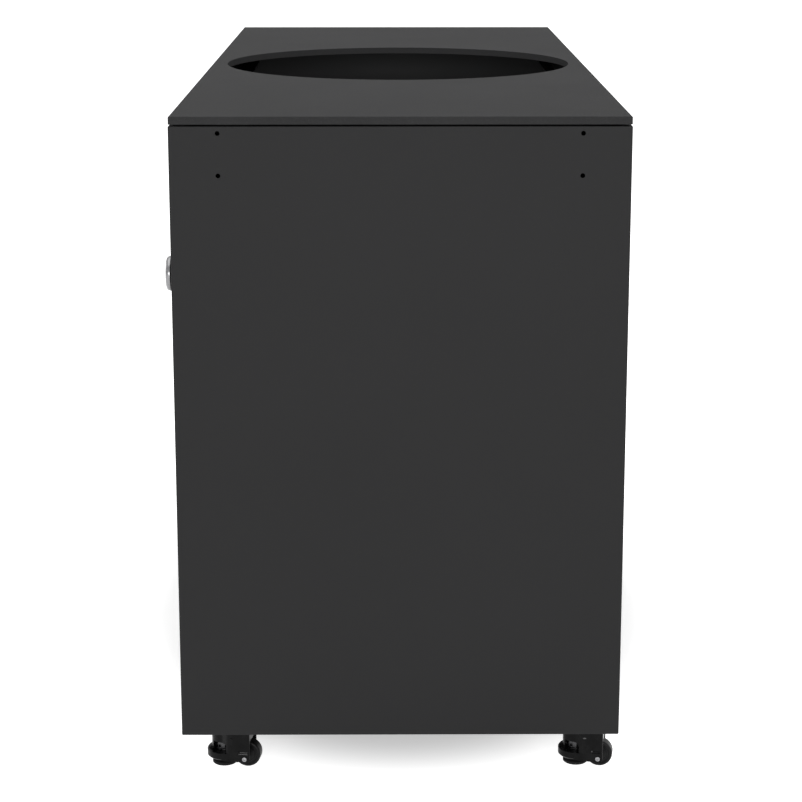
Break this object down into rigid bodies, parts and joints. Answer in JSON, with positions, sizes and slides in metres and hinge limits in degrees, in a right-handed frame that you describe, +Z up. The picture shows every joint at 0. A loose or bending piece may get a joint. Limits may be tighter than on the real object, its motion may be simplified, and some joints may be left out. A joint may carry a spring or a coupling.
{
  "type": "outdoor kitchen module",
  "caption": "Dark sheet steel outdoor kitchen module with a thin worktop, a round cut-out for a ceramic grill, hinged doors with round knobs and levelling castors",
  "frame": {"origin": "on the floor under the middle of the cabinet; the knobs and hinges in front reach past the cabinet, so the bounding box's middle is 7.5 mm in front of it", "axes": "+X along the cabinet to the right as the cook sees it, -Y out of the doors towards the cook, +Z up"},
  "size_m": [1.5, 0.625, 0.932],
  "materials": {
    "worktop_stone": "matt dark grey sintered stone",
    "cabinet_steel": "fine matt powder coat on 2 mm sheet steel",
    "inner_steel": "fine matt powder coat",
    "knob_steel": "satin stainless steel",
    "zinc_steel": "bright zinc plated steel",
    "castor_casting": "glossy black coated die casting",
    "wheel_nylon": "black nylon",
    "foot_rubber": "black rubber",
    "black_rubber": "black rubber",
    "catch_plastic": "black plastic housing of a magnet catch"
  },
  "bodies": {
    "cabinet": {"worktop": "worktop_stone", "worktop_pads": "black_rubber", "end_panel_left": "cabinet_steel", "end_panel_right": "cabinet_steel", "back_panel": "cabinet_steel", "cabinet_floor": "inner_steel", "bottom_rails": "cabinet_steel", "front_top_rail": "cabinet_steel", "rear_top_rail": "inner_steel", "mullion_left": "cabinet_steel", "mullion_right": "cabinet_steel", "bay_wall_left": "inner_steel", "bay_wall_right": "inner_steel", "grill_deck": "inner_steel", "deck_beams": "inner_steel", "shelf_left": "inner_steel", "shelf_right": "inner_steel", "shelf_brackets": "inner_steel", "frame_hinge_leaves": "cabinet_steel", "hinge_pins": "zinc_steel", "magnet_catches": "catch_plastic", "back_screws": "zinc_steel", "castor_plates": "zinc_steel", "castor_bolts": "zinc_steel"},
    "side_door_left": {"side_door_left_skin": "cabinet_steel", "side_door_left_liner": "inner_steel", "side_door_left_knob": "knob_steel", "side_door_left_hinge_leaves": "cabinet_steel"},
    "side_door_right": {"side_door_right_skin": "cabinet_steel", "side_door_right_liner": "inner_steel", "side_door_right_knob": "knob_steel", "side_door_right_hinge_leaves": "cabinet_steel"},
    "centre_door_left": {"centre_door_left_skin": "cabinet_steel", "centre_door_left_liner": "inner_steel", "centre_door_left_knob": "knob_steel", "centre_door_left_hinge_leaves": "cabinet_steel"},
    "centre_door_right": {"centre_door_right_skin": "cabinet_steel", "centre_door_right_liner": "inner_steel", "centre_door_right_knob": "knob_steel", "centre_door_right_hinge_leaves": "cabinet_steel"},
    "front_left_castor": {"front_left_castor_body": "castor_casting", "front_left_castor_axle": "zinc_steel"},
    "front_left_wheel": {"front_left_castor_wheel": "wheel_nylon"},
    "front_left_collar": {"front_left_castor_collar": "zinc_steel"},
    "front_left_foot": {"front_left_castor_foot": "foot_rubber"},
    "front_right_castor": {"front_right_castor_body": "castor_casting", "front_right_castor_axle": "zinc_steel"},
    "front_right_wheel": {"front_right_castor_wheel": "wheel_nylon"},
    "front_right_collar": {"front_right_castor_collar": "zinc_steel"},
    "front_right_foot": {"front_right_castor_foot": "foot_rubber"},
    "back_left_castor": {"back_left_castor_body": "castor_casting", "back_left_castor_axle": "zinc_steel"},
    "back_left_wheel": {"back_left_castor_wheel": "wheel_nylon"},
    "back_left_collar": {"back_left_castor_collar": "zinc_steel"},
    "back_left_foot": {"back_left_castor_foot": "foot_rubber"},
    "back_right_castor": {"back_right_castor_body": "castor_casting", "back_right_castor_axle": "zinc_steel"},
    "back_right_wheel": {"back_right_castor_wheel": "wheel_nylon"},
    "back_right_collar": {"back_right_castor_collar": "zinc_steel"},
    "back_right_foot": {"back_right_castor_foot": "foot_rubber"}
  },
  "joints": [
    {"name": "side_door_left_hinge", "type": "hinge", "parent": "cabinet", "child": "side_door_left", "pos_m": [-0.3315, -0.31, 0.483], "axis": [0, 0, 1], "range_deg": [0, 90]},
    {"name": "side_door_right_hinge", "type": "hinge", "parent": "cabinet", "child": "side_door_right", "pos_m": [0.3315, -0.31, 0.483], "axis": [0, 0, -1], "range_deg": [0, 90]},
    {"name": "centre_door_left_hinge", "type": "hinge", "parent": "cabinet", "child": "centre_door_left", "pos_m": [-0.2885, -0.31, 0.483], "axis": [0, 0, -1], "range_deg": [0, 90]},
    {"name": "centre_door_right_hinge", "type": "hinge", "parent": "cabinet", "child": "centre_door_right", "pos_m": [0.2885, -0.31, 0.483], "axis": [0, 0, 1], "range_deg": [0, 90]},
    {"name": "front_left_swivel", "type": "hinge", "parent": "cabinet", "child": "front_left_castor", "pos_m": [-0.692, -0.25, 0.055], "axis": [0, 0, 1], "continuous": true},
    {"name": "front_left_wheel_spin", "type": "hinge", "parent": "front_left_castor", "child": "front_left_wheel", "pos_m": [-0.69555, -0.21619, 0.019], "axis": [0.9945, 0.1045, 0], "continuous": true},
    {"name": "front_left_collar_turn", "type": "hinge", "parent": "front_left_castor", "child": "front_left_collar", "pos_m": [-0.692, -0.25, 0.028], "axis": [0, 0, 1], "range_deg": [0, 2400]},
    {"name": "front_left_foot_travel", "type": "slide", "parent": "front_left_castor", "child": "front_left_foot", "axis": [0, 0, -1], "range_m": [0, 0.01]},
    {"name": "front_right_swivel", "type": "hinge", "parent": "cabinet", "child": "front_right_castor", "pos_m": [0.692, -0.25, 0.055], "axis": [0, 0, 1], "continuous": true},
    {"name": "front_right_wheel_spin", "type": "hinge", "parent": "front_right_castor", "child": "front_right_wheel", "pos_m": [0.69673, -0.21633, 0.019], "axis": [0.9903, -0.1392, 0], "continuous": true},
    {"name": "front_right_collar_turn", "type": "hinge", "parent": "front_right_castor", "child": "front_right_collar", "pos_m": [0.692, -0.25, 0.028], "axis": [0, 0, 1], "range_deg": [0, 2400]},
    {"name": "front_right_foot_travel", "type": "slide", "parent": "front_right_castor", "child": "front_right_foot", "axis": [0, 0, -1], "range_m": [0, 0.01]},
    {"name": "back_left_swivel", "type": "hinge", "parent": "cabinet", "child": "back_left_castor", "pos_m": [-0.692, 0.25, 0.055], "axis": [0, 0, 1], "continuous": true},
    {"name": "back_left_wheel_spin", "type": "hinge", "parent": "back_left_castor", "child": "back_left_wheel", "pos_m": [-0.68377, 0.28299, 0.019], "axis": [0.9703, -0.2419, 0], "continuous": true},
    {"name": "back_left_collar_turn", "type": "hinge", "parent": "back_left_castor", "child": "back_left_collar", "pos_m": [-0.692, 0.25, 0.028], "axis": [0, 0, 1], "range_deg": [0, 2400]},
    {"name": "back_left_foot_travel", "type": "slide", "parent": "back_left_castor", "child": "back_left_foot", "axis": [0, 0, -1], "range_m": [0, 0.01]},
    {"name": "back_right_swivel", "type": "hinge", "parent": "cabinet", "child": "back_right_castor", "pos_m": [0.692, 0.25, 0.055], "axis": [0, 0, 1], "continuous": true},
    {"name": "back_right_wheel_spin", "type": "hinge", "parent": "back_right_castor", "child": "back_right_wheel", "pos_m": [0.6979, 0.28348, 0.019], "axis": [0.9848, -0.1736, 0], "continuous": true},
    {"name": "back_right_collar_turn", "type": "hinge", "parent": "back_right_castor", "child": "back_right_collar", "pos_m": [0.692, 0.25, 0.028], "axis": [0, 0, 1], "range_deg": [0, 2400]},
    {"name": "back_right_foot_travel", "type": "slide", "parent": "back_right_castor", "child": "back_right_foot", "axis": [0, 0, -1], "range_m": [0, 0.01]}
  ],
  "couplings": [
    {"joint": "front_left_foot_travel", "follows": "front_left_collar_turn", "m_per_rad": 0.00023873},
    {"joint": "front_right_foot_travel", "follows": "front_right_collar_turn", "m_per_rad": 0.00023873},
    {"joint": "back_left_foot_travel", "follows": "back_left_collar_turn", "m_per_rad": 0.00023873},
    {"joint": "back_right_foot_travel", "follows": "back_right_collar_turn", "m_per_rad": 0.00023873}
  ]
}
